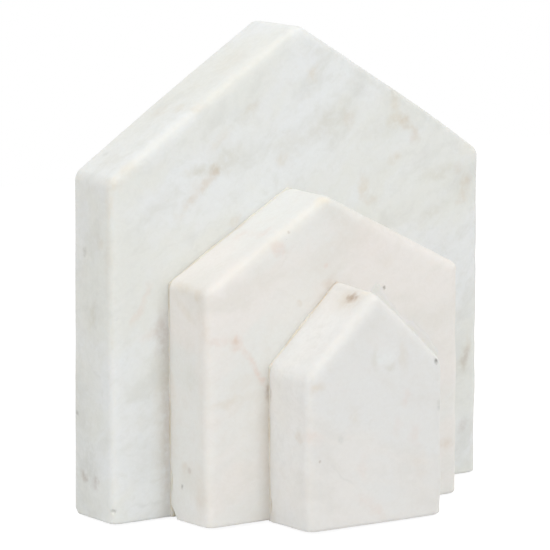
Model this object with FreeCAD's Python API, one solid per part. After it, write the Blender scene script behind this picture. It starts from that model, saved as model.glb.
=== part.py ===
import FreeCAD, Part
import os

os.makedirs("parts", exist_ok=True)

# A book end made of three house-shaped marble slabs, stuck face to face in a centred stepped stack.
# Every slab is a pentagon prism: upright sides, level eaves and a pitched roof, with hand-eased arrises.
# The slabs are cut and stuck by hand, so a ridge may stand off its slab's middle by a ridge offset, and a
# slab off the middle of the stack by its own offset (+ is to the right, seen from the front).
# The large slab stands at the back (+Y), where the books lean on its plain back, and the small one
# stands at the front (-Y). +Z is up. The origin is under the middle of the whole stack, at shelf level.
# All sizes are in millimetres.

# Large slab
large_width = 128.0
large_eave_height = 97.5
large_peak_height = 137.5
large_thickness = 20.5
large_ridge_offset = -1.3

# Medium slab
medium_width = 87.0
medium_eave_height = 67.5
medium_peak_height = 91.5
medium_thickness = 19.5
medium_ridge_offset = -2.8
medium_offset = -1.7

# Small slab
small_width = 46.8
small_eave_height = 44.5
small_peak_height = 67.0
small_thickness = 19.5
small_ridge_offset = 0.0
small_offset = -1.6

# Eased arrises of the stone
front_arris_radius = 2.8
back_arris_radius = 0.8
corner_radius = 2.0
bottom_radius = 1.2

# Adhesive beds between the slabs
bed_thickness = 0.5
bed_inset = 1.2

# Self-adhesive felt pads under the slabs
pad_diameter = 10.0
pad_thickness = 0.5
pad_end_distance = 12.0

# Two points closer than this count as lying on one plane
plane_tolerance = 0.001

# The stack from back to front. Each slab's back plane follows from the pieces behind it.
stack_depth = large_thickness + medium_thickness + small_thickness + 2 * bed_thickness
large_back_y = stack_depth / 2
large_front_y = large_back_y - large_thickness
medium_back_y = large_front_y - bed_thickness
medium_front_y = medium_back_y - medium_thickness
small_back_y = medium_front_y - bed_thickness
small_front_y = small_back_y - small_thickness


# Each house outline: the slab's width, eave height, peak height, ridge offset and own offset
large_house = (large_width, large_eave_height, large_peak_height, large_ridge_offset, 0.0)
medium_house = (medium_width, medium_eave_height, medium_peak_height, medium_ridge_offset, medium_offset)
small_house = (small_width, small_eave_height, small_peak_height, small_ridge_offset, small_offset)


def house_outline(house, y):
    """Closed pentagon on the plane y, standing on the pads."""
    width, eave_height, peak_height, ridge_offset, offset = house
    bottom = pad_thickness
    left = offset - width / 2
    right = offset + width / 2
    eave = pad_thickness + eave_height
    peak = pad_thickness + peak_height
    corners = [(left, bottom), (right, bottom), (right, eave), (offset + ridge_offset, peak), (left, eave)]
    points = [FreeCAD.Vector(x, y, z) for x, z in corners]
    return Part.makePolygon(points + points[:1])


def house_prism(house, thickness, back_y):
    """Pentagon prism that reaches from back_y towards the front by its thickness."""
    return Part.Face(house_outline(house, back_y)).extrude(FreeCAD.Vector(0, -thickness, 0))


def lies_on(edge, axis, place):
    """Whether both ends of the edge lie on the plane where that axis has that value."""
    return all(abs(getattr(vertex.Point, axis) - place) < plane_tolerance for vertex in edge.Vertexes)


def bottom_edges(solid):
    """The edges round the underside."""
    return [edge for edge in solid.Edges if lies_on(edge, "z", pad_thickness)]


def face_edges(solid, y):
    """The edges of the front or the back face, at the plane y, apart from the one at the bottom."""
    return [edge for edge in solid.Edges if lies_on(edge, "y", y) and not lies_on(edge, "z", pad_thickness)]


def roof_corner_edges(solid):
    """The ridge and the two eaves, which run from the back to the front."""
    return [edge for edge in solid.Edges
            if not lies_on(edge, "z", pad_thickness) and not lies_on(edge, "y", edge.Vertexes[0].Point.y)]


def stone_slab(house, thickness, back_y):
    """House-shaped slab: softly rounded at its front arrises, crisper at its corners, bottom and back."""
    block = house_prism(house, thickness, back_y)
    block = block.makeFillet(corner_radius, roof_corner_edges(block))
    block = block.makeFillet(front_arris_radius, face_edges(block, back_y - thickness))
    block = block.makeFillet(back_arris_radius, face_edges(block, back_y))
    return block.makeFillet(bottom_radius, bottom_edges(block))


def adhesive_bed(house, front_of):
    """Thin bed of stone adhesive on the front of one slab, a little inside the next slab's outline."""
    inner_outline = house_outline(house, front_of).makeOffset2D(-bed_inset)
    return Part.Face(inner_outline).extrude(FreeCAD.Vector(0, -bed_thickness, 0))


def felt_pad(x, back_y, thickness):
    """Round pad stuck under a slab, half way between its back and its front."""
    centre = FreeCAD.Vector(x, back_y - thickness / 2, 0)
    return Part.makeCylinder(pad_diameter / 2, pad_thickness, centre)


pieces = {
    "slab_large": stone_slab(large_house, large_thickness, large_back_y),
    "slab_medium": stone_slab(medium_house, medium_thickness, medium_back_y),
    "slab_small": stone_slab(small_house, small_thickness, small_back_y),
    "adhesive_bed_rear": adhesive_bed(medium_house, large_front_y),
    "adhesive_bed_front": adhesive_bed(small_house, medium_front_y),
    "felt_pad_small": felt_pad(small_offset, small_back_y, small_thickness),
}

for side_name, side in (("left", -1), ("right", 1)):
    large_pad_x = side * (large_width / 2 - pad_end_distance)
    medium_pad_x = medium_offset + side * (medium_width / 2 - pad_end_distance)
    pieces["felt_pad_large_" + side_name] = felt_pad(large_pad_x, large_back_y, large_thickness)
    pieces["felt_pad_medium_" + side_name] = felt_pad(medium_pad_x, medium_back_y, medium_thickness)

for name, shape in pieces.items():
    shape.exportStep("parts/" + name + ".step")
    print(name, "solids", len(shape.Solids), "valid", shape.isValid(), "volume", round(shape.Volume, 1))
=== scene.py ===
import math

import bmesh
import bpy
import numpy as np
from mathutils import Euler, Matrix, Vector, noise
from mathutils.bvhtree import BVHTree


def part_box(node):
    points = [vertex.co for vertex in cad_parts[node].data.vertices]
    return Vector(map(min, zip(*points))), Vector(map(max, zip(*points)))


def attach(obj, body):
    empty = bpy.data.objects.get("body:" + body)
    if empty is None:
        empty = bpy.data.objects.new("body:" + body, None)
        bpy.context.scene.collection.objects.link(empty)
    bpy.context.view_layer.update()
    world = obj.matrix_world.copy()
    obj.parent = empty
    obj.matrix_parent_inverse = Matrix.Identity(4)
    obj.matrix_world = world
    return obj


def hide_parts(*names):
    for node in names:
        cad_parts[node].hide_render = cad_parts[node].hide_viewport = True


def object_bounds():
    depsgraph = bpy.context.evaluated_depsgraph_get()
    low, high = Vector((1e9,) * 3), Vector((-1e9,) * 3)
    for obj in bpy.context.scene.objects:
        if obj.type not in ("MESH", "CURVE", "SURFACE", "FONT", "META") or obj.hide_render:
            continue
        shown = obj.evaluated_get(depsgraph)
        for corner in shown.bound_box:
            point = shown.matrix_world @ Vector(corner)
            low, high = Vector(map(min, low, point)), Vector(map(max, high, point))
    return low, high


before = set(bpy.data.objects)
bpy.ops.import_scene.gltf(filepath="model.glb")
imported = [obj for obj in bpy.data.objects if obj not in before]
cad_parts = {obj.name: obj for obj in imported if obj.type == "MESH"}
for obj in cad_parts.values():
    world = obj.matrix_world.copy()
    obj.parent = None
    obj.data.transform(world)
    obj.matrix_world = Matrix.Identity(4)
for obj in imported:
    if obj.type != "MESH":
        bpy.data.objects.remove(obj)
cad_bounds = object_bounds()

MM = 0.001
BODY = "root"


# ---------------------------------------------------------------- the slabs as the frame gives them

SQUARE_TO_FRONT = 0.01   # the most that a roof face's normal leans forward or back
SLOPING = 0.1            # the least that it leans sideways and up


def roof_plane(node, side):
    """Height over x = 0 and slope of a slab's flat left (-1) or right (+1) roof face."""
    roofs = [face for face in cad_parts[node].data.polygons
             if abs(face.normal.y) < SQUARE_TO_FRONT
             and face.normal.x * side > SLOPING and face.normal.z > SLOPING]
    face = max(roofs, key=lambda roof: roof.area)
    slope = -face.normal.x / face.normal.z
    return face.center.z - face.center.x * slope, slope


def sharp_outline(node):
    """The pentagon of a slab before its corners are rounded, as (x, z) from the bottom left corner."""
    low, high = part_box(node)
    left_height, left_slope = roof_plane(node, -1)
    right_height, right_slope = roof_plane(node, 1)
    ridge = (right_height - left_height) / (left_slope - right_slope)
    peak = left_height + left_slope * ridge
    left_eave = left_height + left_slope * low[0]
    right_eave = right_height + right_slope * high[0]
    return [(low[0], low[2]), (high[0], low[2]), (high[0], right_eave), (ridge, peak), (low[0], left_eave)]


# ---------------------------------------------------------------- cutting and easing the stone

ARRIS_STEPS = [0.35, 0.7, 1.05, 1.4, 1.8, 2.2, 2.7, 3.2, 3.8, 4.6, 5.6, 6.8]   # mm in from each sharp edge
BACK_STEPS = [0.3, 0.6, 0.9, 1.3, 1.8, 2.5]                                    # mm in from the back
GRID_STEP = 2.4 * MM
SAME_PLACE = 0.0001 * MM   # a cut that passes this close to a corner goes through it

PIT_RADIUS = 1.6 * MM      # bites smaller than this need a finer mesh
PIT_REACH = 3.4 * MM       # how far round such a bite the mesh is finer

# Hand rubbing leaves the stone uneven, in layers of bumps: how high, then how wide in mm. On an arris the
# height is a share of its radius, and on a face it is in mm.
ARRIS_BUMPS = ((0.28, 16), (0.14, 5))
FACE_BUMPS = ((0.13, 34), (0.035, 9))
FACE_SINK = 0.16           # mm that the rubbed faces lie under the sawn ones
RIDGE_REACH = 12 * MM      # how far round the ridge its own corner radius holds
PILLOW = 4                 # the front arrises are tight in the middle, with long soft tails
# the worn value also sets how much of the arrises' painted highlight they take
WORN_THROUGH = 1.2 * MM    # where this much stone is gone, an arris looks fully rubbed

NUDGE = 0.01 * MM          # the step that feels out which way the surface lies
SETTLING_PASSES = 6
LEAST_STEEPNESS = 0.2      # keeps a point from jumping where the distance is nearly level


def slice_mesh(bm, point, normal):
    """Runs one line of edges round the block, where a plane meets it."""
    geometry = bm.verts[:] + bm.edges[:] + bm.faces[:]
    bmesh.ops.bisect_plane(bm, geom=geometry, dist=SAME_PLACE, plane_co=point, plane_no=normal)


def even_steps(start, end, step):
    """Places between start and end, about one step apart, without the ends."""
    count = max(1, round((end - start) / step))
    return [start + (end - start) * k / count for k in range(1, count)]


def sawn_block(outline, back, front):
    """Sharp pentagon block, ruled with lines that lie close together near its edges."""
    bm = bmesh.new()
    corners = [bm.verts.new((x, back, z)) for x, z in outline]
    bm.faces.new(corners)
    grown = bmesh.ops.extrude_face_region(bm, geom=bm.faces[:])
    moved = [v for v in grown["geom"] if isinstance(v, bmesh.types.BMVert)]
    bmesh.ops.translate(bm, vec=(0, front - back, 0), verts=moved)
    bmesh.ops.recalc_face_normals(bm, faces=bm.faces[:])
    (left, bottom), (right, _), (_, eave), (ridge, peak), _ = outline
    for x in even_steps(left, right, GRID_STEP):
        slice_mesh(bm, (x, 0, 0), (1, 0, 0))
    for z in even_steps(bottom, peak, GRID_STEP):
        slice_mesh(bm, (0, 0, z), (0, 0, 1))
    for y in even_steps(front, back, GRID_STEP):
        slice_mesh(bm, (0, y, 0), (0, 1, 0))
    for step in BACK_STEPS:
        slice_mesh(bm, (0, back - step * MM, 0), (0, 1, 0))
    for step in ARRIS_STEPS:
        inset = step * MM
        slice_mesh(bm, (0, front + inset, 0), (0, 1, 0))
        slice_mesh(bm, (0, 0, bottom + inset), (0, 0, 1))
        for side, inward in ((left, 1), (right, -1)):
            slice_mesh(bm, (side + inward * inset, 0, 0), (1, 0, 0))
            slice_mesh(bm, (ridge + inward * inset, 0, 0), (1, 0, 0))
            rise = Vector((abs(side - ridge), 0, peak - eave)).normalized()
            up_and_out = Vector((-inward * rise.z, 0, rise.x))
            slice_mesh(bm, Vector((side, 0, eave)) - up_and_out * inset, up_and_out)
    return bm


def noise_field(points, size, seed):
    """Smooth random value from -1 to 1 at each point, with bumps of about that size."""
    shift = Vector((seed * 7.31, seed * 3.17, seed * 5.73))
    return np.array([noise.noise(Vector(p) / size + shift) for p in points])


def bumpy(start, points, layers, seed):
    """The start value with layers of noise on it, each with its height and its width in mm."""
    value = start
    for k, (height, width) in enumerate(layers):
        value = value + height * noise_field(points, width * MM, seed + k)
    return value


class EasedStone:
    """The worn shape of one slab, as a distance: over zero outside the stone and below zero in it."""

    def __init__(self, ends, back, front, radii, crown, bites, points, seed):
        self.ends = [np.array(outline) for outline in ends]
        self.back = back
        self.front = front
        self.bites = bites
        self.crown = [rise * MM for rise in crown]
        uneven = bumpy(1, points, ARRIS_BUMPS, seed)
        self.front_radius = radii["front"] * MM * uneven
        self.back_radius = radii["back"] * MM * uneven
        self.bottom_radius = radii["bottom"] * MM * uneven
        middle, peak = self.ends[0][3]
        near_ridge = np.hypot(points[:, 0] - middle, points[:, 2] - peak) < RIDGE_REACH
        self.corner_radius = np.where(near_ridge, radii["ridge"], radii["eave"]) * MM * uneven
        self.wave = (bumpy(0, points, FACE_BUMPS, seed + len(ARRIS_BUMPS)) - FACE_SINK) * MM

    def distance(self, points):
        """How far each point is outside the worn surface. Its outline goes over from the back's to the
        front's with depth, and its foot is a straight line between the two bottom corners."""
        depth = ((points[:, 1] - self.back) / (self.front - self.back))[:, None, None]
        corners = self.ends[0][None] * (1 - depth) + self.ends[1][None] * depth
        total = np.zeros(len(points))
        nearest = np.full(len(points), -np.inf)
        for k in range(1, 5):   # right side, right roof, left roof and left side
            along = corners[:, (k + 1) % 5] - corners[:, k]
            length = np.linalg.norm(along, axis=1)
            along /= length[:, None]
            offset = points[:, [0, 2]] - corners[:, k]
            share = np.clip((offset * along).sum(axis=1) / length, 0, 1)
            swelling = self.wave + self.crown[k - 1] * 4 * share * (1 - share)
            proud = offset[:, 0] * along[:, 1] - offset[:, 1] * along[:, 0] - swelling
            total += np.clip(proud + self.corner_radius, 0, None) ** 2
            nearest = np.maximum(nearest, proud + self.corner_radius)
        outline = np.sqrt(total) + np.minimum(nearest, 0) - self.corner_radius
        ahead = self.front - points[:, 1] - self.wave
        behind = points[:, 1] - self.back
        soft = rounded(outline, ahead, self.front_radius, PILLOW)
        crisp = rounded(outline, behind, self.back_radius)
        body = np.where(points[:, 1] < (self.front + self.back) / 2, soft, crisp)
        across = np.clip((points[:, 0] - corners[:, 0, 0]) / (corners[:, 1, 0] - corners[:, 0, 0]), 0, 1)
        below = corners[:, 0, 1] * (1 - across) + corners[:, 1, 1] * across - points[:, 2]
        body = rounded(body, below, self.bottom_radius)
        for centre, radius in self.bites:
            body = np.maximum(body, radius - np.linalg.norm(points - centre, axis=1))
        return body

    def settle(self, points):
        """Moves the points of the sharp block onto the worn surface."""
        points = points.copy()
        for _ in range(SETTLING_PASSES):
            value = self.distance(points)
            steps = [self.distance(points + np.eye(3)[axis] * NUDGE) for axis in range(3)]
            slope = (np.stack(steps, axis=1) - value[:, None]) / NUDGE
            steepness = np.maximum((slope ** 2).sum(axis=1), LEAST_STEEPNESS)
            points -= slope * (value / steepness)[:, None]
        return points


def rounded(first, second, radius, power=2):
    """Joins two distances with a corner of that radius: round, or with longer tails as power grows."""
    inside = np.clip(first + radius, 0, None) ** power + np.clip(second + radius, 0, None) ** power
    return inside ** (1 / power) - radius


def bite(place, outward, radius, depth):
    """Round bite out of the stone, in mm: where it is, which way is out, its radius and how deep it goes."""
    direction = np.array(outward, float) / np.linalg.norm(outward)
    return (np.array(place) + direction * (radius - depth)) * MM, radius * MM


def finer_near(bm, places, reach):
    """Splits the edges near small bites, so that the mesh can follow them."""
    for share in (1.0, 0.7):
        verts = bm.verts[:]
        points = np.array([vert.co[:] for vert in verts])
        near = np.zeros(len(points), bool)
        for place in places:
            near |= np.linalg.norm(points - place, axis=1) < reach * share
        chosen = {vert for vert, close in zip(verts, near) if close}
        bm.edges.index_update()
        edges = {edge for vert in chosen for edge in vert.link_edges if edge.other_vert(vert) in chosen}
        in_order = sorted(edges, key=lambda edge: edge.index)
        bmesh.ops.subdivide_edges(bm, edges=in_order, cuts=2, use_grid_fill=True)


def piece_from(bm, name, node=None):
    """Turns the mesh into a piece of the book end, which stands for a frame node if it has one."""
    mesh = bpy.data.meshes.new(name)
    bm.to_mesh(mesh)
    bm.free()
    mesh.shade_smooth()
    piece = bpy.data.objects.new(name, mesh)
    bpy.context.scene.collection.objects.link(piece)
    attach(piece, BODY)
    if node:
        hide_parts(node)
    return piece


def stone_slab(name, node, wander, radii, crown, bites, seed):
    """House-shaped slab that stands for a frame node. wander says how far, in mm, hand cutting moved
    its corners sideways and up at the back and at the front, in the order bottom left, bottom right,
    right eave, ridge, left eave. radii and crown are in mm."""
    low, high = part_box(node)
    outline = sharp_outline(node)
    ends = [[(x + dx * MM, z + dz * MM) for (x, z), (dx, dz) in zip(outline, moves)] for moves in wander]
    bm = sawn_block(outline, high[1], low[1])
    pits = [centre for centre, radius in bites if radius < PIT_RADIUS]
    if pits:
        finer_near(bm, pits, PIT_REACH)
    sharp = np.array([v.co[:] for v in bm.verts])
    worn = EasedStone(ends, high[1], low[1], radii, crown, bites, sharp, seed).settle(sharp)
    for vert, point in zip(bm.verts, worn):
        vert.co = point
    slab = piece_from(bm, name, node)
    layer = slab.data.attributes.new("worn", "FLOAT", "POINT")
    lost = np.linalg.norm(worn - sharp, axis=1) / WORN_THROUGH
    layer.data.foreach_set("value", np.clip(lost, 0, 1).astype(np.float32))
    return slab


# ---------------------------------------------------------------- adhesive and felt

FILM_BITE = 0.4 * MM        # how far a film reaches into the uneven face behind it
LONG_RAGS = 9 * MM          # the lengths of the ragged bits of its rim
SHORT_RAGS = 2.5 * MM

SMEAR_COLUMNS = 70
SMEAR_ROWS = 16
SMEAR_BACK = 0.8 * MM       # how deep the smear's hidden back lies in the stone
RIM_DIP = 0.35              # mm that the smear's rim dips into the stone

FELT_CUT = 0.985            # the disc's share of the frame's radius, which leaves room for the fuzz
FELT_ROUNDING = 0.22        # the rims' rounding as a share of the disc's height
FELT_RINGS = (0.4, 0.64, 0.96, 1.28)   # mm from each ring of the disc's faces to the next
FELT_TUFT = 0.5 * MM
SIDE_FUZZ = 0.06 * MM
FACE_FUZZ = 0.05 * MM


def finished(bm, name, node=None):
    """Piece from a mesh whose faces still have to be turned outward."""
    bmesh.ops.recalc_face_normals(bm, faces=bm.faces[:])
    return piece_from(bm, name, node)


def middle_of(node):
    """The middle of a node's box."""
    low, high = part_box(node)
    return Vector([(start + end) / 2 for start, end in zip(low, high)])


def adhesive_film(name, node, least, most, seed):
    """Film of adhesive that was pressed out between two slabs, from least to most mm beyond the plain
    bed of the frame. It bites a little way into the uneven face behind it."""
    low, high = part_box(node)
    outline = sharp_outline(node)
    bm = sawn_block(outline, high[1] + FILM_BITE, low[1])
    middle = middle_of(node)
    middle.y = 0
    rim = set()
    for face in bm.faces:
        if abs(face.normal.y) < 0.5:
            rim.update(face.verts)
    for vert in rim:
        place = Vector((vert.co.x, 0, vert.co.z))
        ragged = noise.noise(place / LONG_RAGS + Vector((seed, 0, 0))) + 0.5 * noise.noise(place / SHORT_RAGS)
        spread = least + (most - least) * min(max(0.5 + 0.7 * ragged, 0), 1)
        vert.co += (place - middle).normalized() * spread * MM
    return finished(bm, name, node)


def adhesive_smear(name, places, width, base, seed):
    """Thin smear of adhesive on the front of the slab base, width mm wide, with a raised ragged lip along
    the given (x, z) places in mm. Its rim dips into the stone, so that no gap shows under it."""
    stone = BVHTree.FromObject(base, bpy.context.evaluated_depsgraph_get())
    bm = bmesh.new()
    bmesh.ops.create_grid(bm, x_segments=SMEAR_COLUMNS, y_segments=SMEAR_ROWS, size=0.5)
    last = len(places) - 1
    inward = Vector((-0.66, -0.75))
    for vert in bm.verts:
        along = (vert.co.x + 0.5) * last
        across = vert.co.y + 0.5
        step = min(int(along), last - 1)
        edge = Vector(places[step]).lerp(Vector(places[step + 1]), along - step)
        ragged = noise.noise(Vector((along * 1.6, seed, 0)))
        ragged += 0.35 * noise.noise(Vector((along * 6, seed, 5)))
        spot = edge + inward * (width * (1 - across) + ragged * across)
        skin = 0.06 + 0.03 * noise.noise(Vector((along * 2, across * 4, 9)))
        lip = 0.09 * math.exp(-((across - 0.86) / 0.05) ** 2)
        rim = max(0, (across - 0.9) / 0.1, 1 - along * 3, 1 - (last - along) * 3)
        height = (skin + lip) * (1 - rim ** 2) - RIM_DIP * rim ** 3
        hit = stone.ray_cast(Vector((spot.x * MM, -1, spot.y * MM)), Vector((0, 1, 0)))[0]
        vert.co = Vector((hit.x, hit.y - height * MM, hit.z))
    grown = bmesh.ops.extrude_face_region(bm, geom=bm.faces[:])
    back = [item for item in grown["geom"] if isinstance(item, bmesh.types.BMVert)]
    bmesh.ops.translate(bm, vec=(0, SMEAR_BACK, 0), verts=back)
    return finished(bm, name)


def felt_pad(name, node, seed):
    """Die-cut disc of pressed felt: rounded rims, a slightly fuzzy side and uneven faces."""
    low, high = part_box(node)
    middle = middle_of(node)
    radius = (high[0] - low[0]) / 2
    height = high[2] - low[2]
    cut_radius = radius * FELT_CUT
    bm = bmesh.new()
    bmesh.ops.create_cone(bm, cap_ends=True, segments=96, radius1=cut_radius, radius2=cut_radius,
                          depth=height, matrix=Matrix.Translation(middle))
    caps = [face for face in bm.faces if abs(face.normal.z) > 0.9]
    rims = list({edge for face in caps for edge in face.edges})
    bmesh.ops.bevel(bm, geom=rims, offset=height * FELT_ROUNDING, offset_type="OFFSET", segments=3,
                    profile=0.5, affect="EDGES", material=-1)
    for inset in FELT_RINGS:
        caps = [face for face in bm.faces if abs(face.normal.z) > 0.9 and len(face.verts) > 4]
        bmesh.ops.inset_individual(bm, faces=caps, thickness=inset * MM)
    for vert in bm.verts:
        fuzz = noise.noise(vert.co / FELT_TUFT + Vector((seed, 0, 0)))
        outward = Vector((vert.co.x - middle.x, vert.co.y - middle.y, 0)).normalized()
        near_rim = (vert.co - middle).xy.length > radius * 0.9
        if near_rim:
            vert.co += outward * fuzz * SIDE_FUZZ
        elif vert.co.z < middle.z:
            vert.co.z += abs(fuzz) * FACE_FUZZ
    return finished(bm, name, node)


# ---------------------------------------------------------------- nodes shared by the materials

def add(tree, kind, sockets=None, **settings):
    """Adds a node. settings are its own settings, and sockets gives its inputs a value or a link."""
    node = tree.nodes.new(kind)
    for name, value in settings.items():
        setattr(node, name, value)
    for name, value in (sockets or {}).items():
        if isinstance(value, bpy.types.NodeSocket):
            tree.links.new(value, node.inputs[name])
        else:
            node.inputs[name].default_value = value
    return node


def new_group(name, inputs, outputs):
    """An empty node group, with the sockets that its inside and its result use."""
    group = bpy.data.node_groups.new(name, "ShaderNodeTree")
    for label, kind in inputs.items():
        group.interface.new_socket(label, in_out="INPUT", socket_type="NodeSocket" + kind)
    for label, kind in outputs.items():
        group.interface.new_socket(label, in_out="OUTPUT", socket_type="NodeSocket" + kind)
    return group, group.nodes.new("NodeGroupInput").outputs, group.nodes.new("NodeGroupOutput").inputs


def place_group(tree, group, sockets):
    """Uses a node group, and gives its outputs."""
    return add(tree, "ShaderNodeGroup", sockets, node_tree=group).outputs


def fine_noise(tree, position, size, detail=2.0, roughness=0.5):
    """Noise with bumps of that size; size is a length or a socket."""
    if isinstance(size, bpy.types.NodeSocket):
        scale = add(tree, "ShaderNodeMath", {0: 1.0, 1: size}, operation="DIVIDE").outputs[0]
    else:
        scale = 1 / size
    return add(tree, "ShaderNodeTexNoise",
               {"Vector": position, "Scale": scale, "Detail": detail, "Roughness": roughness}).outputs


def ramp(tree, value, start, end, low=0.0, high=1.0):
    """Smooth step: low at start and high at end."""
    return add(tree, "ShaderNodeMapRange",
               {"Value": value, "From Min": start, "From Max": end, "To Min": low, "To Max": high},
               interpolation_type="SMOOTHSTEP").outputs[0]


def times(tree, first, second):
    """The product of two values."""
    return add(tree, "ShaderNodeMath", {0: first, 1: second}, operation="MULTIPLY").outputs[0]


def larger(tree, first, second):
    """The larger of two values."""
    return add(tree, "ShaderNodeMath", {0: first, 1: second}, operation="MAXIMUM").outputs[0]


def blend(tree, share, first, second):
    """Colour that goes from the first to the second as share goes from 0 to 1."""
    return add(tree, "ShaderNodeMix", {0: share, 6: first, 7: second}, data_type="RGBA").outputs[2]


def new_material(name):
    """A material with its nodes and its shader."""
    material = bpy.data.materials.new(name)
    material.use_nodes = True
    return material, material.node_tree, material.node_tree.nodes["Principled BSDF"]


def set_values(shader, values):
    """Gives a shader's inputs their constant values."""
    for name, value in values.items():
        shader.inputs[name].default_value = value


def bump_by(tree, shader, height, strength, distance):
    """Roughens the surface by a height, of that distance from its low to its high places."""
    bump = add(tree, "ShaderNodeBump", {"Strength": strength, "Distance": distance, "Height": height})
    tree.links.new(bump.outputs[0], shader.inputs["Normal"])


def wander_group():
    """Moves a position about, so that a pattern on it loses its straight lines."""
    group, given, result = new_group("wander", {"Position": "Vector", "Size": "Float", "Amount": "Float"},
                                     {"Position": "Vector"})

    def vector_math(operation, sockets):
        return add(group, "ShaderNodeVectorMath", sockets, operation=operation).outputs[0]

    colour = fine_noise(group, given["Position"], given["Size"], 2.0)["Color"]
    centred = vector_math("SUBTRACT", {0: colour, 1: (0.5, 0.5, 0.5)})
    push = vector_math("SCALE", {0: centred, "Scale": given["Amount"]})
    moved = vector_math("ADD", {0: given["Position"], 1: push})
    group.links.new(moved, result["Position"])
    return group


def cloud_group():
    """Soft patches, drawn out along one direction, as marble has."""
    group, given, result = new_group(
        "cloud", {"Position": "Vector", "Turn": "Vector", "Stretch": "Vector", "Size": "Float",
                  "Start": "Float", "Full": "Float"}, {"Mask": "Float"})
    laid = add(group, "ShaderNodeMapping", {"Vector": given["Position"], "Rotation": given["Turn"],
                                            "Scale": given["Stretch"]}, vector_type="TEXTURE").outputs[0]
    value = fine_noise(group, laid, given["Size"], 4.0, 0.55)["Fac"]
    group.links.new(ramp(group, value, given["Start"], given["Full"]), result["Mask"])
    return group


def stain_group():
    """One mark in the stone: a soft-edged, broken-up spot of its own place, size, turn and colour."""
    group, given, result = new_group(
        "stain", {"Colour": "Color", "Position": "Vector", "Broken": "Float", "Centre": "Vector",
                  "Half Size": "Vector", "Turn": "Vector", "Stain": "Color", "Strength": "Float"},
        {"Colour": "Color"})
    laid = add(group, "ShaderNodeMapping", {"Vector": given["Position"], "Location": given["Centre"],
                                            "Rotation": given["Turn"], "Scale": given["Half Size"]},
               vector_type="TEXTURE").outputs[0]
    away = add(group, "ShaderNodeVectorMath", {0: laid}, operation="LENGTH").outputs["Value"]
    mask = times(group, ramp(group, away, 1.0, 0.1), given["Broken"])
    share = times(group, mask, given["Strength"])
    group.links.new(blend(group, share, given["Colour"], given["Stain"]), result["Colour"])
    return group


def crystal_group():
    """The sugary crystals of marble: a shade for each crystal and the height of the honed surface."""
    group, given, result = new_group("crystal", {"Position": "Vector"}, {"Shade": "Float", "Height": "Float"})

    def mixed(share, first, second):
        return add(group, "ShaderNodeMix", {0: share, 2: first, 3: second}, data_type="FLOAT").outputs[0]

    cells = add(group, "ShaderNodeTexVoronoi", {"Vector": given["Position"], "Scale": 1 / (0.9 * MM)},
                feature="F1").outputs["Color"]
    tone = add(group, "ShaderNodeSeparateColor", {"Color": cells}).outputs[0]
    dust = fine_noise(group, given["Position"], 0.45 * MM, 2.0, 0.6)["Fac"]
    swell = fine_noise(group, given["Position"], 3.5 * MM, 3.0, 0.6)["Fac"]
    group.links.new(mixed(0.5, tone, dust), result["Shade"])
    group.links.new(mixed(0.35, swell, dust), result["Height"])
    return group


def worn_and_highlight_group():
    """Where the arrises are worn and take a painted highlight: the worn attribute, broken up along the edge.
    """
    group, given, result = new_group("rubbed_edge_and_highlight", {"Position": "Vector"}, {"Mask": "Float"})
    worn = add(group, "ShaderNodeAttribute", attribute_name="worn").outputs["Fac"]
    broken = fine_noise(group, given["Position"], 7 * MM, 3.0, 0.6)["Fac"]
    patches = ramp(group, broken, 0.38, 0.62, 0.25, 1.0)
    group.links.new(times(group, ramp(group, worn, 0.12, 0.9), patches), result["Mask"])
    return group


WANDER = wander_group()
CLOUD = cloud_group()
STAIN = stain_group()
CRYSTAL = crystal_group()
RUBBED_AND_HIGHLIGHT = worn_and_highlight_group()


# ---------------------------------------------------------------- the marble

# Tones of the marks in the stone
GREY = (0.55, 0.56, 0.53)
TAN = (0.64, 0.54, 0.39)
RUST = (0.56, 0.41, 0.26)
PINK = (0.74, 0.50, 0.40)
OLIVE = (0.56, 0.53, 0.42)
BROWN = (0.24, 0.11, 0.045)
SOOT = (0.10, 0.085, 0.07)
CREAM = (0.86, 0.80, 0.66)
PALE = (0.84, 0.87, 0.86)
# tone for painted light on some faces
PAINTED_MILK_LIGHT = (0.93, 0.92, 0.90)

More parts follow.
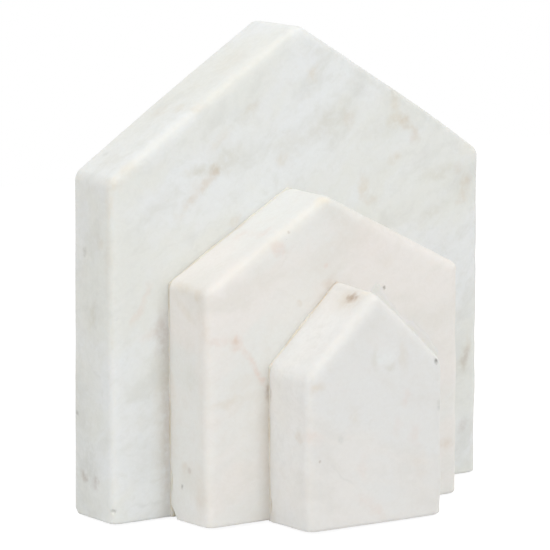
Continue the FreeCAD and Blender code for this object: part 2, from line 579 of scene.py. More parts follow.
# Each mark: its place and half sizes in mm, its turn about X and Y in degrees, its tone and its strength.
# The slabs' fronts lie at y = 9.75, -10.25 and -30.25, and their left sides at x = -64, -45.2 and -25. A mark
# colours what lies inside its half sizes, so its place only has to be near the face that it shows on.
LARGE_MARKS = [
    # rusty vein with an olive smudge round it, high on the left of the front
    ((-29, 9.5, 98), (3.4, 4, 3.0), (0, -30), RUST, 0.46),
    ((-32.3, 9.5, 94.3), (5.5, 4, 2.3), (0, -50), RUST, 0.25),
    ((-37, 9.5, 90.3), (4.6, 4, 2.1), (0, -35), RUST, 0.23),
    ((-40.5, 9.5, 86.5), (4, 4, 2.6), (0, -55), TAN, 0.17),
    ((-34, 9.5, 98.3), (8, 5, 2.4), (0, -5), OLIVE, 0.4),
    ((-25, 9.5, 101), (9, 5, 6), (0, -30), OLIVE, 0.32),
    ((-27.5, 9.5, 106.5), (7, 5, 2.6), (0, -40), TAN, 0.17),
    # olive clouds with rusty blots, over the middle of the front
    ((4.2, 9.5, 123.3), (3.0, 4, 3.6), (0, 10), TAN, 0.32),
    ((1, 9.5, 119.7), (7, 5, 4), (0, -40), GREY, 0.26),
    ((-18, 9.5, 113.5), (9, 6, 4), (0, -35), OLIVE, 0.22),
    ((-16.6, 9.5, 114.8), (3.4, 4, 2.4), (0, -30), RUST, 0.14),
    ((12, 9.5, 110), (13, 6, 7), (0, -25), OLIVE, 0.26),
    ((16.3, 9.5, 109.6), (2.8, 4, 4.2), (0, -10), RUST, 0.18),
    ((20, 9.5, 119), (7, 5, 5), (0, -20), GREY, 0.26),
    ((-4, 9.5, 104), (9, 6, 6), (0, -20), OLIVE, 0.2),
    ((5, 9.5, 106.5), (10, 6, 4), (0, -30), OLIVE, 0.15),
    ((-6.1, 9.5, 99.3), (3.6, 4, 2.4), (0, -20), TAN, 0.22),
    # rusty tangle under the right roof
    ((32.7, 9.5, 112.7), (2.8, 4, 5.0), (0, 10), TAN, 0.35),
    ((33.9, 9.5, 107.8), (5.0, 4, 3.4), (0, 0), TAN, 0.35),
    ((37, 9.5, 106), (5.5, 4, 2.4), (0, 40), RUST, 0.23),
    ((39.8, 9.5, 102.5), (2.6, 4, 4.2), (0, 5), RUST, 0.23),
    ((30, 9.5, 106), (15, 6, 5), (0, -10), OLIVE, 0.17),
    ((32.7, 9.5, 96.7), (3.6, 4, 2.6), (0, -30), TAN, 0.27),
    ((28, 9.5, 94), (10, 5, 3), (0, -25), OLIVE, 0.1),
    ((21.2, 9.5, 89), (2.4, 4, 5.5), (0, 15), TAN, 0.32),
    ((24, 9.5, 85.5), (5.0, 4, 2.0), (0, 0), RUST, 0.18),
    # olive bands and rusty spots by the right eave
    ((48, 9.5, 91.3), (10, 5, 3.6), (0, -15), OLIVE, 0.28),
    ((46, 9.5, 79.8), (10, 5, 3.4), (0, -28), OLIVE, 0.25),
    ((55, 9.5, 87.5), (8, 5, 9), (0, 0), OLIVE, 0.15),
    ((55.8, 9.5, 92.4), (3.0, 4, 2.4), (0, 0), RUST, 0.18),
    ((58.3, 9.5, 87.5), (2.8, 4, 4.4), (0, 10), RUST, 0.23),
    ((57.5, 9.5, 83.8), (3.8, 4, 2.6), (0, -20), RUST, 0.21),
    # dark knots down the right edge
    ((58.2, 9.5, 35.5), (2.4, 4, 4.6), (0, 14), BROWN, 0.3),
    ((57.5, 9.5, 34.5), (4, 4, 8), (0, 14), OLIVE, 0.22),
    ((59.5, 9.5, 40), (1.8, 3, 5), (0, 10), TAN, 0.17),
    ((57.5, 9.5, 15), (2.6, 4, 3.8), (0, 25), BROWN, 0.16),
    # faint pinkish wisps and grey patches low on the left of the front
    ((-54.5, 9.5, 60.3), (7, 4, 2.0), (0, -58), PINK, 0.17),
    ((-51.5, 9.5, 66), (4.5, 4, 1.8), (0, -70), PINK, 0.13),
    ((-51, 9.5, 54), (4.5, 4, 2.2), (0, -20), PINK, 0.11),
    ((-53.5, 9.5, 28.8), (6, 4, 3.4), (0, -20), OLIVE, 0.14),
    ((-52, 9.5, 18.5), (11, 6, 10), (0, -20), GREY, 0.18),
    ((-52, 9.5, 5.6), (10, 3, 1.0), (0, 0), GREY, 0.22),
    # tan haze below the left vein and by the right eave
    ((-35, 9.5, 93), (9, 5, 5), (0, -45), TAN, 0.14),
    ((60, 9.5, 98), (6, 5, 5), (0, 30), TAN, 0.16),
    # along the left roof and its arris, from the eave's corner up
    ((-62, 10.5, 97), (4, 4, 3), (0, 0), TAN, 0.25),
    ((-39, 23.5, 114), (3.4, 4.5, 2.2), (0, -32), TAN, 0.19),
    ((-36.4, 17, 115.6), (3.0, 6, 2.2), (0, -32), TAN, 0.22),
    ((-34.6, 10.5, 116.8), (3.4, 5, 2.6), (0, -32), TAN, 0.3),
    ((-17, 8.5, 127.8), (5.5, 4, 2.4), (0, -32), TAN, 0.27),
    ((-17.5, 19, 127.4), (7, 8, 4), (0, -32), TAN, 0.12),
    ((-57, 9.8, 101), (6, 4, 3.4), (0, -32), TAN, 0.24),
    ((-58, 19, 101.9), (7, 8, 4), (0, -32), OLIVE, 0.17),
    ((-55.5, 26, 103.4), (1.8, 2.0, 1.8), (0, 0), GREY, 0.45),
    # the left side
    ((-64, 11.5, 92), (3, 3.0, 12), (0, 0), TAN, 0.19),
    ((-64, 11, 76), (3, 3.0, 18), (0, 0), TAN, 0.15),
    ((-64, 15.7, 79.8), (3, 3.6, 3.8), (0, 0), TAN, 0.24),
    ((-64, 20, 79), (3, 8, 6), (0, 0), GREY, 0.22),
    ((-64, 24.7, 76.4), (2, 1.8, 2.4), (0, 0), SOOT, 0.45),
    ((-64, 20.6, 58.5), (3, 2.2, 7), (25, 0), OLIVE, 0.31),
    ((-64, 23.3, 60), (3, 2.8, 4), (0, 0), GREY, 0.26),
    ((-64, 22, 14.5), (4, 8, 7), (0, 0), GREY, 0.38),
    ((-64, 25.6, 12.3), (3, 2.8, 2.4), (0, 0), BROWN, 0.38),
    ((-64, 18.9, 11.2), (3, 3.4, 2.8), (0, 0), BROWN, 0.27),
    ((-64, 28.8, 29.8), (1, 1.1, 1.3), (0, 0), SOOT, 0.63),
    ((-63.5, 10.3, 4.8), (1.6, 1.6, 0.9), (0, 0), SOOT, 0.54),
    ((-64, 31, 22), (3, 12, 46), (0, 0), GREY, 0.22),
    # painted shade that makes the left side greyer and darker, mostly near its foot, and the left roof too
    ((-64, 22, 50), (4, 16, 90), (0, 0), OLIVE, 0.10),
    ((-64, 24, 14), (4, 14, 50), (0, 0), GREY, 0.12),
    ((-30, 22, 118), (50, 12, 5), (0, -32), OLIVE, 0.14),
    ((-64, 22, 84), (4, 14, 30), (0, 0), OLIVE, 0.08),
    # tan along the left roof arris; grey along the right one and down the right edge is painted shade where
    # these arrises turn away from the light
    ((-31, 9.5, 119), (50, 3, 3.4), (0, -32), TAN, 0.14),
    ((31, 9.5, 117.5), (48, 3, 3.4), (0, 32), GREY, 0.35),
    ((64, 9.5, 50), (3, 3, 70), (0, 0), GREY, 0.3),
    # brown adhesive grime along the joint with the medium slab, with painted shade on top where the medium
    # slab shades the front
    ((-46.8, 9.5, 53), (5.2, 2, 10), (0, 0), BROWN, 0.26),
    ((-46.5, 9.5, 30), (6.0, 2, 48), (0, 0), TAN, 0.22),
    ((-45.8, 9.5, 25), (3.0, 2, 44), (0, 0), BROWN, 0.14),
    ((-22.5, 9.5, 83.3), (4.0, 2, 2.2), (0, -30), TAN, 0.3),
]
MEDIUM_MARKS = [
    # pink wisps over the left roof and the blot below them
    ((-24.5, 4, 80), (4.2, 5, 2.6), (0, -20), PINK, 0.14),
    ((-21.6, -3.5, 82), (4.2, 3.2, 2.4), (0, -20), PINK, 0.18),
    ((-23.1, 0.5, 81), (2.4, 7, 1.8), (0, -20), PINK, 0.09),
    ((-21, -10, 78), (3.2, 3, 3.0), (0, 20), PINK, 0.29),
    ((-17.4, -10, 82.4), (0.8, 1, 0.8), (0, 0), BROWN, 0.5),
    ((-21.5, 9.3, 82), (4, 2, 2), (0, -30), RUST, 0.25),
    # along the ridge and below it
    ((-5, -10, 90.7), (6.5, 4, 3), (0, -28), CREAM, 0.6),
    ((-5.5, -10, 90.4), (3, 3, 2), (0, -28), TAN, 0.2),
    ((-1.6, -10, 86.6), (10, 5, 6), (0, 10), OLIVE, 0.15),
    ((6, -10, 79), (18, 6, 11), (0, 25), PINK, 0.06),
    ((15.6, -10, 70.8), (4.5, 3, 3.4), (0, 0), TAN, 0.1),
    # under the left eave
    ((-45.2, -6.2, 66.5), (3, 4, 2.8), (0, 0), TAN, 0.33),
    ((-45.2, 1.5, 67.3), (2.5, 9, 2.4), (8, 0), TAN, 0.23),
    ((-45.2, 0.5, 60.8), (2, 9, 2.4), (29, 0), TAN, 0.16),
    # tan bands down the front arris of the left side, and stains near its foot
    ((-45.2, -7.5, 58), (3.5, 3.2, 11), (0, 0), TAN, 0.18),
    ((-45.2, -7, 38), (3, 3.2, 22), (0, 0), TAN, 0.1),
    ((-45.2, -6.5, 14), (3, 3.8, 18), (0, 0), TAN, 0.14),
    ((-45.2, -1.6, 42.5), (3, 7, 6), (0, 0), OLIVE, 0.17),
    ((-45.2, 0, 51), (3, 6, 6), (0, 0), OLIVE, 0.11),
    ((-45.2, 1.8, 16.6), (2, 2.4, 2.4), (0, 0), RUST, 0.25),
    ((-45.2, -0.7, 16), (2, 1.5, 1.4), (0, 0), BROWN, 0.32),
    ((-45.2, 3.1, 10.9), (1, 1.1, 1.1), (0, 0), SOOT, 0.68),
    ((-45.2, -5.5, 8.6), (3, 4, 4.5), (0, 0), RUST, 0.15),
    ((-45.2, 0, 13), (3, 7, 7), (0, 0), OLIVE, 0.22),
    # pink vein that runs down to the small slab
    ((-41, -10, 53.9), (7.5, 3, 2.0), (0, 6), PINK, 0.14),
    ((-35.5, -10, 53), (3.2, 3, 2.8), (0, 0), PINK, 0.29),
    ((-35.5, -10, 53), (1.6, 3, 1.5), (0, 0), RUST, 0.25),
    ((-32, -10, 49), (5.5, 3, 1.7), (0, 50), PINK, 0.22),
    ((-29.8, -10, 46), (3.2, 3, 2.2), (0, 50), PINK, 0.22),
    ((-27.6, -10, 42.3), (5.2, 3, 2.0), (0, 60), PINK, 0.36),
    ((-24.1, -10, 37.2), (2.4, 3, 3.4), (0, 0), BROWN, 0.65),
    ((-38.5, -10, 36), (7.5, 3, 2.0), (0, -6), TAN, 0.2),
    # spots round the head of the small slab
    ((-14.1, -10, 61.8), (1.6, 2, 1.5), (0, 0), RUST, 0.25),
    ((-5.2, -10, 71.6), (1.2, 2, 1.2), (0, 0), PINK, 0.22),
    ((-3.9, -10, 66.5), (4.0, 3, 2.6), (0, -50), RUST, 0.25),
    ((15, -10, 63.4), (0.8, 1, 0.8), (0, 0), SOOT, 0.72),
    ((36.6, -10, 15.7), (4.4, 3, 2.3), (0, 0), RUST, 0.24),
    # painted light that makes the left roof milkier and lighter
    ((-22, 0, 80), (30, 16, 5), (0, -28), PAINTED_MILK_LIGHT, 0.07),
    ((-8, 0, 88), (12, 14, 4), (0, -28), PAINTED_MILK_LIGHT, 0.2),
    # tan along the left roof arris; grey along the right one is painted shade where it turns away from the
    # light
    ((-22, -9.8, 80.5), (32, 3, 3.2), (0, -29.5), TAN, 0.14),
    ((20, -9.8, 79.5), (32, 3, 3.2), (0, 27.5), GREY, 0.22),
    # painted light that makes the foot of the left side milkier and lighter
    ((-45.2, -2, 12), (4, 16, 30), (0, 0), PAINTED_MILK_LIGHT, 0.2),
    # tan and brown along the joints with both other slabs: adhesive grime, with painted shade where the large
    # slab shades the left side and the small slab shades the front
    ((-45.2, 9.3, 30), (2.5, 4.4, 46), (0, 0), TAN, 0.12),
    ((-45.2, 9.5, 8), (2, 2.2, 16), (0, 0), BROWN, 0.08),
    ((-24.5, -10, 24), (5.0, 2, 36), (0, 0), TAN, 0.2),
    ((-24.2, -10, 22), (2.4, 2, 32), (0, 0), BROWN, 0.05),
]
SMALL_MARKS = [
    # brown spot with its halo on the left roof, and a painted highlight in cream on the ridge
    ((-4.9, -22.1, 64.3), (2.6, 2.6, 2.6), (0, 0), BROWN, 0.77),
    ((-5.2, -22.0, 64), (5.5, 5.5, 5.0), (0, 0), RUST, 0.22),
    ((-2.6, -25, 66.5), (3.5, 4, 2.4), (0, 0), CREAM, 0.4),
    ((-3.7, -30, 66), (3.4, 3, 2.6), (0, 0), CREAM, 0.6),
    ((-3.4, -30, 66), (1.8, 2, 1.8), (0, 0), TAN, 0.23),
    # tan and brown along the joint, behind the left roof and down the left side
    ((-13, -11.5, 57.5), (16, 1.8, 1.8), (0, -44), TAN, 0.25),
    ((-25, -11.2, 22), (2.5, 3.0, 36), (0, 0), TAN, 0.1),
    ((-25, -11.5, 4), (2.5, 3.4, 6), (0, 0), TAN, 0.18),
    ((-25, -11, 37), (1.5, 1.6, 3), (0, 0), BROWN, 0.35),
    # painted light that makes the left roof and the left side milkier and lighter
    ((-16, -20, 53), (20, 15, 5), (0, -44), PAINTED_MILK_LIGHT, 0.4),
    ((-25, -20, 30), (4, 16, 45), (0, 0), PAINTED_MILK_LIGHT, 0.42),
    # a faint olive cloud on the left side, tan by the ridge and on the left roof arris, and grey on the right
    # one as painted shade where it turns away from the light
    ((-25, -18, 34), (2, 7, 11), (0, 0), OLIVE, 0.09),
    ((-5, -21, 63), (7, 10, 5), (0, -44), TAN, 0.2),
    ((-13, -29.8, 57), (22, 3, 3), (0, -44), TAN, 0.08),
    ((12, -29.8, 55.5), (22, 3, 3), (0, 43), GREY, 0.2),
    # pale patch with an olive rim, high on the front
    ((1.5, -30, 48.3), (4.8, 3, 4.4), (0, 0), PALE, 0.45),
    ((2.6, -30, 44.6), (2.6, 3, 2.2), (0, 0), OLIVE, 0.26),
    ((-1.8, -30, 47.5), (1.8, 3, 5), (0, 0), OLIVE, 0.17),
    ((7.5, -30, 48), (2.2, 3, 6.5), (0, 0), TAN, 0.2),
    ((-4, -30, 57), (9, 3, 6), (0, -40), OLIVE, 0.09),
    # tan and pink flecks over the front
    ((-21.6, -30, 41.7), (4.2, 3, 2.5), (0, -8), TAN, 0.33),
    ((-25, -26, 27.3), (2.2, 2.6, 2.6), (0, 0), RUST, 0.32),
    ((-23.5, -30, 27.4), (4.8, 3, 3.6), (0, 30), PINK, 0.16),
    ((-9.6, -30, 31.9), (3.2, 3, 4), (0, -20), TAN, 0.2),
    ((8.3, -30, 35.5), (2.2, 3, 4), (0, 0), PINK, 0.12),
    ((5.5, -30, 27.7), (2.6, 3, 4), (0, 0), PINK, 0.1),
    ((11.2, -30, 24.7), (2.8, 3, 5.5), (0, 0), PINK, 0.12),
    ((13, -30, 15.8), (4.5, 3, 7), (0, 0), RUST, 0.1),
    ((-6.5, -30, 17.3), (2.6, 3, 5), (0, 0), PINK, 0.09),
    ((-5.9, -30, 8.2), (4.4, 3, 3), (0, 38), PINK, 0.13),
    ((-1.9, -30, 4.3), (5.5, 3, 2), (0, 35), PINK, 0.14),
    ((-13, -30, 15.3), (9, 3, 0.7), (0, 45), GREY, 0.16),
    # dark pores
    ((-14, -30, 26.3), (1.5, 2, 1.8), (0, 0), GREY, 0.48),
    ((-20.9, -30, 21.0), (0.7, 2, 0.7), (0, 0), BROWN, 0.3),
    ((18.8, -30, 44.8), (1.1, 2, 1.1), (0, 0), SOOT, 0.81),
    ((20.0, -30, 32.2), (1.3, 2, 2.4), (0, 0), GREY, 0.7),
]


# Marks whose middle half size in mm is below the first of these are spots and thin lines, and marks whose
# longest one is over the second follow an edge. Both keep their shape, and the rest are pulled about.
SPOT_SIZE = 2.5
SEAM_SIZE = 20

# Layers of clouds: their size as a share of the largest, how they are drawn out, the noise where they start
# and where they are full, and how strongly they show
BROAD_CLOUDS = (1.0, (3.2, 1.6, 1.0), 0.40, 0.60, 1.0)
PATCHES = (0.42, (2.2, 1.4, 1.0), 0.48, 0.72, 0.75)
MOTTLE = (0.13, (1.5, 1.2, 1.0), 0.50, 0.75, 0.4)

# the cream on the arrises is partly wear and partly a painted highlight
RUBBED_AND_HIGHLIGHT_CREAM = 0.10        # how much lighter and warmer a rubbed arris is
CRYSTAL_CONTRAST = 0.07
LIGHT_REACH = 1.5 * MM     # how far light spreads under the surface of stone and adhesive


def clouded(tree, place, tones, turn, size):
    """The clouds of the stone: warm ones over its main tone, then two layers of shaded ones."""
    main, warm, shaded = tones
    flow = place_group(tree, WANDER, {"Position": place, "Size": 11 * MM, "Amount": 9 * MM})["Position"]
    colour = (*main, 1)
    for layer, tone in ((BROAD_CLOUDS, warm), (PATCHES, shaded), (MOTTLE, shaded)):
        share, stretch, start, full, strength = layer
        mask = place_group(tree, CLOUD, {"Position": flow, "Turn": turn, "Stretch": stretch,
                                         "Size": size * share, "Start": start, "Full": full})["Mask"]
        colour = blend(tree, times(tree, mask, strength), colour, (*tone, 1))
    return colour


def stained(tree, colour, place, own, marks):
    """The stone's marks, one over the other."""
    fine = place_group(tree, WANDER, {"Position": place, "Size": 1.4 * MM, "Amount": 1.1 * MM})["Position"]
    shaky = place_group(tree, WANDER, {"Position": fine, "Size": 5 * MM, "Amount": 4.5 * MM})["Position"]
    broken = ramp(tree, fine_noise(tree, own, 2.2 * MM, 3.0, 0.6)["Fac"], 0.3, 0.6, 0.45, 1.0)
    for centre, half_size, (about_x, about_y), tone, strength in marks:
        keeps_shape = sorted(half_size)[1] < SPOT_SIZE or max(half_size) > SEAM_SIZE
        colour = place_group(tree, STAIN, {
            "Colour": colour, "Position": fine if keeps_shape else shaky, "Broken": broken,
            "Centre": [value * MM for value in centre], "Half Size": [value * MM for value in half_size],
            "Turn": (math.radians(about_x), math.radians(about_y), 0),
            "Stain": (*tone, 1), "Strength": strength})["Colour"]
    return colour


def marble(name, tones, streak, marks, seed):
    """Honed marble. tones are its main, warm, shaded and dark tones; streak is how its clouds lie:
    their turn about Y in degrees and the size, in mm, of the large ones."""
    turn = (0, math.radians(streak[0]), 0)
    material, tree, shader = new_material(name)
    place = add(tree, "ShaderNodeTexCoord").outputs["Object"]
    own = add(tree, "ShaderNodeMapping", {"Vector": place, "Location": (seed, seed * 0.37, -seed)}).outputs[0]
    colour = clouded(tree, own, tones[:3], turn, streak[1] * MM)
    colour = stained(tree, colour, place, own, marks)
    # arrises made lighter and warmer in cream: partly wear, partly a painted highlight
    rubbed_and_highlight = place_group(tree, RUBBED_AND_HIGHLIGHT, {"Position": own})["Mask"]
    colour = blend(tree, times(tree, rubbed_and_highlight, RUBBED_AND_HIGHLIGHT_CREAM), colour, (*CREAM, 1))
    crystals = place_group(tree, CRYSTAL, {"Position": own})
    shade = ramp(tree, crystals["Shade"], 0.2, 0.8, 0.0, CRYSTAL_CONTRAST)
    colour = blend(tree, shade, colour, (*tones[3], 1))
    tree.links.new(colour, shader.inputs["Base Color"])
    tree.links.new(ramp(tree, crystals["Shade"], 0.2, 0.8, 0.42, 0.56), shader.inputs["Roughness"])
    bump_by(tree, shader, crystals["Height"], 0.35, 0.12 * MM)
    set_values(shader, {"Specular IOR Level": 0.4, "Subsurface Weight": 0.2,
                        "Subsurface Radius": (1.0, 0.85, 0.7), "Subsurface Scale": LIGHT_REACH})
    return material


def cured_adhesive(name, light, dark, rough):
    """Cured stone adhesive, cloudy from light to dark, with a skin that is rough in places."""
    material, tree, shader = new_material(name)
    place = add(tree, "ShaderNodeTexCoord").outputs["Object"]
    bumps = fine_noise(tree, place, 2.2 * MM, 3.0, 0.55)["Fac"]
    cloudy = place_group(tree, CLOUD, {"Position": place, "Turn": (0, 0, 0), "Stretch": (1.4, 1, 1),
                                       "Size": 7 * MM, "Start": 0.36, "Full": 0.66})["Mask"]
    tree.links.new(blend(tree, cloudy, (*light, 1), (*dark, 1)), shader.inputs["Base Color"])
    tree.links.new(ramp(tree, bumps, 0.3, 0.7, rough - 0.08, rough + 0.12), shader.inputs["Roughness"])
    bump_by(tree, shader, bumps, 0.4, 0.15 * MM)
    set_values(shader, {"Subsurface Weight": 0.3, "Subsurface Radius": (1.0, 0.7, 0.4),
                        "Subsurface Scale": LIGHT_REACH})
    return material


def pressed_felt(name):
    """Grey-beige wool felt: matted fibres, darker between the tufts."""
    material, tree, shader = new_material(name)
    place = add(tree, "ShaderNodeTexCoord").outputs["Object"]
    tangled = place_group(tree, WANDER, {"Position": place, "Size": 0.8 * MM, "Amount": 1.2 * MM})["Position"]
    fibres = place_group(tree, CLOUD, {"Position": tangled, "Turn": (0, 0, 0.6), "Stretch": (5, 1, 1),
                                       "Size": 0.18 * MM, "Start": 0.35, "Full": 0.65})["Mask"]
    tufts = fine_noise(tree, place, 1.6 * MM, 2.0)["Fac"]
    colour = blend(tree, fibres, (0.40, 0.38, 0.35, 1), (0.62, 0.60, 0.56, 1))
    colour = blend(tree, ramp(tree, tufts, 0.4, 0.7, 0.0, 0.35), colour, (0.34, 0.32, 0.29, 1))
    tree.links.new(colour, shader.inputs["Base Color"])
    tree.links.new(ramp(tree, tufts, 0.2, 0.8, 0.85, 0.97), shader.inputs["Roughness"])
    bump_by(tree, shader, fibres, 0.7, 0.15 * MM)
    set_values(shader, {"Sheen Weight": 0.3})
    return material


# ---------------------------------------------------------------- the pieces of the book end

# How far each slab's corners wandered at the back, then at the front: (sideways, up) in mm
LARGE_WANDER = [[(0.0, 0), (-1.0, 0), (-0.1, -0.9), (-0.2, -0.12), (1.15, -0.12)],
                [(0.0, 0.3), (-1.0, 0), (-0.1, -0.9), (1.2, -0.1), (0.3, 0)]]
MEDIUM_WANDER = [[(0, 0), (0, 0), (0, 0), (0.2, 0), (0, 0)],
                 [(0, 0.55), (0, 0), (0, 0), (-0.3, 0), (0, 0)]]
SMALL_WANDER = [[(0, 0), (0, 0), (0, 0), (0, 0), (0, 0)],
                [(0, 0.5), (0, 0), (0, 0), (0, -0.5), (0, 0)]]

# How far the middles of each slab's right side, right roof, left roof and left side stand out, in mm
LARGE_CROWN = (0, 0.45, 0.4, 0)
PLAIN_CROWN = (0, 0, 0, 0)

# Chips and pores, from corners that were knocked off down to the smallest pores
LARGE_BITES = [
    bite((-63.1, 10.6, 4.5), (-1, -1, 0), 0.9, 0.35),
    bite((-64, 30.25, 44.5), (-1, 1, 0), 5, 0.3),
    bite((-64, 30.25, 0.5), (-1, 1, -1), 7, 1.4)]
MEDIUM_BITES = [
    bite((-45.2, 9.25, 0.5), (-1, 1, -0.6), 9, 2.6),
    bite((-45.2, 9.25, 11.5), (-1, 1, 0), 6, 1.0),
    bite((-45.2, 9.25, 31.5), (-1, 1, 0), 8, 0.6),
    bite((-45.2, 9.25, 60.5), (-1, 1, 0), 4, 0.3),
    bite((-17.4, -9.9, 82.4), (0.2, -1, 0.4), 0.8, 0.2),
    bite((15, -10.1, 63.4), (0, -1, 0), 0.7, 0.35),
    bite((-45.1, 3.1, 10.9), (-1, 0, 0), 0.8, 0.25)]
SMALL_BITES = [
    bite((18.8, -29.9, 44.8), (0.3, -1, 0.2), 1.0, 0.5),
    bite((20.9, -29.5, 32.2), (1, -1, 0), 1.2, 0.45),
    bite((-20.9, -30.0, 21.0), (0, -1, 0), 0.6, 0.03),
    bite((-25, -10.75, 5.5), (-1, 1, 0), 6, 1.0)]

large = stone_slab("large_slab", "slab_large", LARGE_WANDER,
                   {"front": 5.2, "eave": 1.8, "ridge": 2.4, "bottom": 0.8, "back": 0.5},
                   LARGE_CROWN, LARGE_BITES, 1)
medium = stone_slab("medium_slab", "slab_medium", MEDIUM_WANDER,
                    {"front": 6.0, "eave": 1.8, "ridge": 2.4, "bottom": 0.9, "back": 0.5},
                    PLAIN_CROWN, MEDIUM_BITES, 2)
small = stone_slab("small_slab", "slab_small", SMALL_WANDER,
                   {"front": 5.8, "eave": 2.0, "ridge": 2.2, "bottom": 1.0, "back": 0.5},
                   PLAIN_CROWN, SMALL_BITES, 3)
COOL_WHITE = ((0.805, 0.820, 0.815), (0.785, 0.793, 0.755), (0.715, 0.722, 0.690), (0.57, 0.57, 0.53))
CREAM_PINK = ((0.800, 0.803, 0.775), (0.835, 0.805, 0.770), (0.775, 0.752, 0.705), (0.62, 0.56, 0.50))
WARM_WHITE = ((0.778, 0.778, 0.762), (0.800, 0.782, 0.752), (0.745, 0.732, 0.700), (0.60, 0.56, 0.52))
large.data.materials.append(marble("cool_white_marble", COOL_WHITE, (-38, 19), LARGE_MARKS, 0.11))
medium.data.materials.append(marble("cream_marble", CREAM_PINK, (-25, 30), MEDIUM_MARKS, 0.23))
small.data.materials.append(marble("warm_white_marble", WARM_WHITE, (20, 24), SMALL_MARKS, 0.37))

rear_film = adhesive_film("rear_adhesive_film", "adhesive_bed_rear", 0.8, 1.15, 3)
front_film = adhesive_film("front_adhesive_film", "adhesive_bed_front", 0.85, 1.15, 8)
SMEAR_LIP = [(12.3, 65.8), (13.8, 64.3), (16.0, 61.3), (19.6, 56.7), (25.6, 52.5),
             (30.9, 48.3), (34.2, 42.9), (33.4, 38.1), (28.0, 32.5)]
smear = adhesive_smear("adhesive_smear", SMEAR_LIP, 9.0, medium, 4)
pale = cured_adhesive("pale_adhesive", (0.80, 0.76, 0.68), (0.70, 0.63, 0.52), 0.42)
amber = cured_adhesive("amber_adhesive", (0.82, 0.77, 0.69), (0.70, 0.61, 0.49), 0.42)
clear = cured_adhesive("clear_adhesive", (0.81, 0.79, 0.755), (0.785, 0.76, 0.715), 0.36)
for piece, adhesive in ((rear_film, pale), (front_film, amber), (smear, clear)):
    piece.data.materials.append(adhesive)

felt = pressed_felt("pressed_felt")
for index, node in enumerate(sorted(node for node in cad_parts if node.startswith("felt_pad"))):
    pad = felt_pad(node.replace("felt_pad", "felt_disc"), node, index)
    pad.data.materials.append(felt)


# ---------------------------------------------------------------- stage, light and camera

FLOOR_SIZE = 1.2
FLOOR_GLOW = 0.92          # so that the paper looks white except where the stone shades it
SKY_STRENGTH = 0.523
LAMP_AIM = Vector((0, 0, 0.06))

# Where the camera stands from the place that it looks at: degrees round to the left, and up
VIEW_AZIMUTH = math.radians(33.78)
VIEW_ELEVATION = math.radians(9.56)
VIEW_ROLL = math.radians(-0.19)
VIEW_DISTANCE = 1.1207
AIM_LEFT = 0.0156
AIM_BELOW_RIDGE = 0.06907
SENSOR_WIDTH = 36          # mm
LENS = 260.9               # mm


def looked_at(tree):
    """1 for rays from the camera and for what gloss or glass shows, and 0 for the light itself."""
    path = tree.nodes.new("ShaderNodeLightPath").outputs
    camera_or_gloss = larger(tree, path["Is Camera Ray"], path["Is Glossy Ray"])
    return larger(tree, camera_or_gloss, path["Is Transmission Ray"])


def white_paper():
    """White paper that bounces light like paper, and looks white round the stone but for its shadow."""
    material, tree, paper = new_material("white_paper")
    set_values(paper, {"Base Color": (0.8, 0.8, 0.8, 1), "Roughness": 0.9, "Specular IOR Level": 0})
    seen_paper = add(tree, "ShaderNodeBsdfDiffuse", {"Color": (0.2, 0.2, 0.2, 1)}).outputs[0]
    glow = add(tree, "ShaderNodeEmission", {"Color": (1, 1, 1, 1), "Strength": FLOOR_GLOW}).outputs[0]
    both = add(tree, "ShaderNodeAddShader", {0: seen_paper, 1: glow}).outputs[0]
    mix = add(tree, "ShaderNodeMixShader", {0: looked_at(tree), 1: paper.outputs[0], 2: both}).outputs[0]
    tree.links.new(mix, tree.nodes["Material Output"].inputs["Surface"])
    return material


def studio_sky():
    """Even light from all round, which looks plain white behind the stone."""
    world = bpy.data.worlds.new("studio")
    world.use_nodes = True
    sky = world.node_tree
    light = sky.nodes["Background"]
    set_values(light, {"Color": (1, 1, 1, 1), "Strength": SKY_STRENGTH})
    white = add(sky, "ShaderNodeBackground", {"Color": (1, 1, 1, 1), "Strength": 1.0}).outputs[0]
    both = add(sky, "ShaderNodeMixShader", {0: looked_at(sky), 1: light.outputs[0], 2: white}).outputs[0]
    sky.links.new(both, sky.nodes["World Output"].inputs["Surface"])
    return world


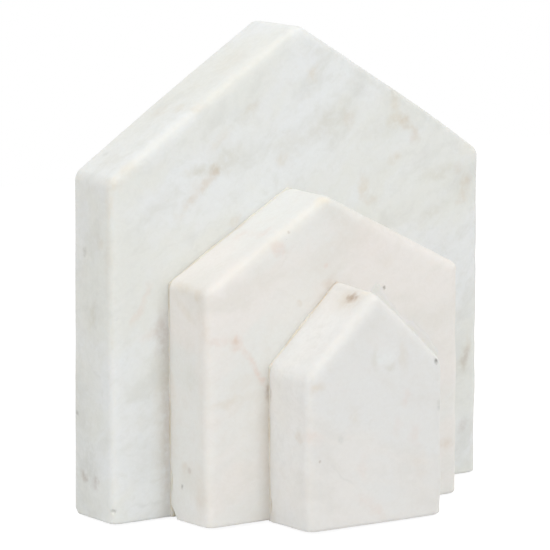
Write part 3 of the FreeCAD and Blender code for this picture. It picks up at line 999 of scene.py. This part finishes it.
def soft_lamp(name, azimuth, elevation, distance, size, power):
    """Square lamp aimed at the stone, azimuth degrees to the right of straight in front of it."""
    height = math.radians(elevation)
    straight_out = Vector((0, -math.cos(height), math.sin(height)))
    out = Euler((0, 0, math.radians(azimuth))).to_matrix() @ straight_out
    data = bpy.data.lights.new(name, "AREA")
    data.shape = "SQUARE"
    data.size = size
    data.energy = power
    lamp = bpy.data.objects.new(name, data)
    bpy.context.scene.collection.objects.link(lamp)
    lamp.location = LAMP_AIM + out * distance
    lamp.rotation_euler = (-out).to_track_quat("-Z", "Y").to_euler()


def set_camera():
    """Long-lens camera to the left of the front and a little above it."""
    aim = Vector((-AIM_LEFT, 0, cad_bounds[1][2] - AIM_BELOW_RIDGE))
    out = Vector((-math.sin(VIEW_AZIMUTH) * math.cos(VIEW_ELEVATION),
                  -math.cos(VIEW_AZIMUTH) * math.cos(VIEW_ELEVATION),
                  math.sin(VIEW_ELEVATION)))
    data = bpy.data.cameras.new("camera")
    data.sensor_width = SENSOR_WIDTH
    data.lens = LENS
    camera = bpy.data.objects.new("camera", data)
    bpy.context.scene.collection.objects.link(camera)
    camera.location = aim + out * VIEW_DISTANCE
    level = Euler((math.pi / 2 - VIEW_ELEVATION, 0, -VIEW_AZIMUTH), "XYZ").to_matrix()
    camera.rotation_euler = (level @ Matrix.Rotation(VIEW_ROLL, 3, "Z")).to_euler()
    bpy.context.scene.camera = camera


bpy.ops.mesh.primitive_plane_add(size=FLOOR_SIZE, location=(0, 0, 0))
floor = bpy.context.object
floor.name = "floor"
floor.data.materials.append(white_paper())
bpy.context.scene.world = studio_sky()
for lamp in (("front_high", 0, 60, 1.0, 0.7, 4.19),
             ("front_low", 8, 4, 1.2, 0.22, 1.08),
             ("left_side", -80, 25, 1.0, 0.6, 2.12),
             ("right_side", 75, 25, 1.0, 0.7, 0.90),
             ("top_back", 180, 60, 1.0, 0.7, 0.88)):
    soft_lamp(*lamp)
set_camera()

view = bpy.context.scene.view_settings
view.view_transform = "Standard"
